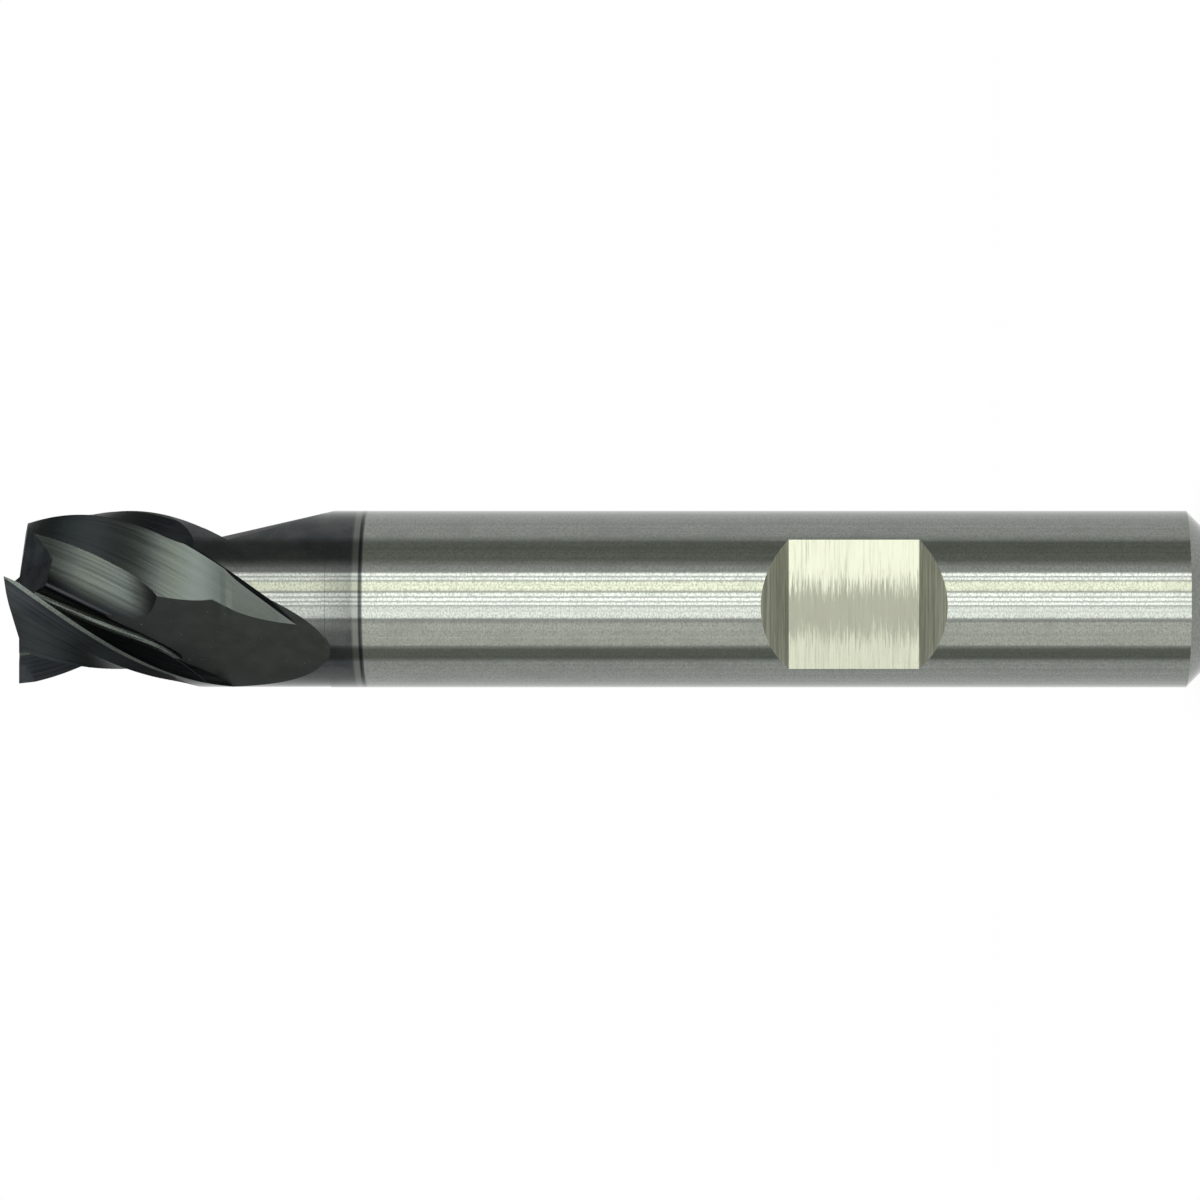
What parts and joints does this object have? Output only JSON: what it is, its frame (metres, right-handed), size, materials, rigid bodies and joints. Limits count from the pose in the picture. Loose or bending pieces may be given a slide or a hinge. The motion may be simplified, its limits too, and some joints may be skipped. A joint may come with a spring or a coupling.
{
  "type": "end mill",
  "caption": "Straight-shank end mill: a short fluted cutting head with coated helical teeth on a plain ground shank that has a side-lock flat.",
  "frame": {"origin": "centre of the flat end face of the shank, on the tool's axis", "axes": "+Z along the tool's axis from the shank end to the cutting tip, -Y out of the side-lock flat"},
  "size_m": [0.01, 0.01, 0.0672],
  "materials": {
    "end_mill": "ground shank, dark coated flutes"
  },
  "bodies": {
    "root": {"end_mill": "end_mill"}
  },
  "joints": []
}
